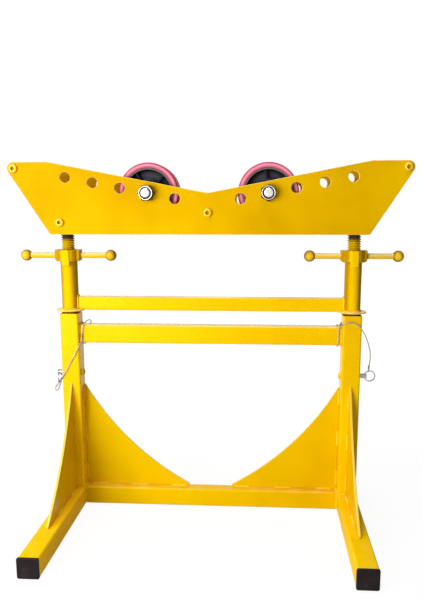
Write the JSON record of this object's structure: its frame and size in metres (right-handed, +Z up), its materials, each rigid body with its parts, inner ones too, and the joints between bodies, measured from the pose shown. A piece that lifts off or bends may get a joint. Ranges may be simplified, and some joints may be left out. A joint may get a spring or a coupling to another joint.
{
  "type": "pipe roller stand",
  "caption": "Height-adjustable pipe stand with a welded base, pinned inner frame, jack screws turned by ball handles, and a V head that carries pipe on turning rollers",
  "frame": {"origin": "on the floor, under the middle of the stand", "axes": "+X to the right seen from the front, +Y to the rear, +Z up"},
  "size_m": [0.8228, 0.648, 0.7528],
  "materials": {
    "yellow_paint": "gloss yellow paint on welded steel",
    "zinc_steel": "bright zinc plate",
    "screw_steel": "oiled machined steel",
    "tread": "smooth pink polyurethane",
    "core_plastic": "dark moulded nylon",
    "cap_plastic": "black moulded plastic",
    "bush_bronze": "plain bronze",
    "wire_rope": "galvanised wire rope"
  },
  "bodies": {
    "base": {"base_beam": "yellow_paint", "top_beam": "yellow_paint", "foot_rail_left": "yellow_paint", "post_left": "yellow_paint", "side_gusset_left": "yellow_paint", "front_gusset_left": "yellow_paint", "rear_gusset_left": "yellow_paint", "foot_cap_front_left": "cap_plastic", "foot_cap_rear_left": "cap_plastic", "lanyard_left": "wire_rope", "foot_rail_right": "yellow_paint", "post_right": "yellow_paint", "side_gusset_right": "yellow_paint", "front_gusset_right": "yellow_paint", "rear_gusset_right": "yellow_paint", "foot_cap_front_right": "cap_plastic", "foot_cap_rear_right": "cap_plastic", "lanyard_right": "wire_rope"},
    "inner_frame": {"inner_crossbar": "yellow_paint", "inner_tube_left": "yellow_paint", "flange_left": "yellow_paint", "inner_tube_right": "yellow_paint", "flange_right": "yellow_paint"},
    "nut_left": {"jack_nut_left": "yellow_paint", "handle_outer_left": "yellow_paint", "handle_inner_left": "yellow_paint"},
    "nut_right": {"jack_nut_right": "yellow_paint", "handle_outer_right": "yellow_paint", "handle_inner_right": "yellow_paint"},
    "head": {"head_plate_front": "yellow_paint", "head_plate_rear": "yellow_paint", "tie_rod_centre": "yellow_paint", "tie_screw_centre": "yellow_paint", "jack_screw_left": "screw_steel", "screw_block_left": "yellow_paint", "block_screw_left": "yellow_paint", "tie_rod_left": "yellow_paint", "tie_screw_left": "yellow_paint", "axle_sleeve_left": "zinc_steel", "axle_bolt_left": "zinc_steel", "axle_nut_left": "zinc_steel", "jack_screw_right": "screw_steel", "screw_block_right": "yellow_paint", "block_screw_right": "yellow_paint", "tie_rod_right": "yellow_paint", "tie_screw_right": "yellow_paint", "axle_sleeve_right": "zinc_steel", "axle_bolt_right": "zinc_steel", "axle_nut_right": "zinc_steel"},
    "roller_left": {"roller_tyre_left": "tread", "roller_core_left": "core_plastic", "roller_bush_left": "bush_bronze"},
    "roller_right": {"roller_tyre_right": "tread", "roller_core_right": "core_plastic", "roller_bush_right": "bush_bronze"},
    "pin_left": {"locking_pin_left": "zinc_steel", "pin_ring_left": "zinc_steel"},
    "pin_right": {"locking_pin_right": "zinc_steel", "pin_ring_right": "zinc_steel"}
  },
  "joints": [
    {"name": "frame_lift", "type": "slide", "parent": "base", "child": "inner_frame", "axis": [0, 0, 1], "range_m": [0, 0.15]},
    {"name": "left_nut_turn", "type": "hinge", "parent": "inner_frame", "child": "nut_left", "pos_m": [-0.3025, 0, 0.5618], "axis": [0, 0, -1], "range_deg": [-1800, 12240]},
    {"name": "right_nut_turn", "type": "hinge", "parent": "inner_frame", "child": "nut_right", "pos_m": [0.3025, 0, 0.5618], "axis": [0, 0, -1], "range_deg": [-1800, 12240]},
    {"name": "head_lift", "type": "slide", "parent": "inner_frame", "child": "head", "axis": [0, 0, 1], "range_m": [-0.0251, 0.1701]},
    {"name": "left_roller_spin", "type": "hinge", "parent": "head", "child": "roller_left", "pos_m": [-0.12335, 0, 0.6898], "axis": [0, 1, 0], "continuous": true},
    {"name": "right_roller_spin", "type": "hinge", "parent": "head", "child": "roller_right", "pos_m": [0.12335, 0, 0.6898], "axis": [0, 1, 0], "continuous": true},
    {"name": "left_pin_pull", "type": "slide", "parent": "base", "child": "pin_left", "axis": [-1, 0, 0], "range_m": [-0.008, 0.03]},
    {"name": "right_pin_pull", "type": "slide", "parent": "base", "child": "pin_right", "axis": [1, 0, 0], "range_m": [-0.008, 0.03]}
  ],
  "couplings": [
    {"joint": "right_nut_turn", "follows": "left_nut_turn", "ratio": 1},
    {"joint": "head_lift", "follows": "left_nut_turn", "m_per_rad": 0.00079577}
  ]
}
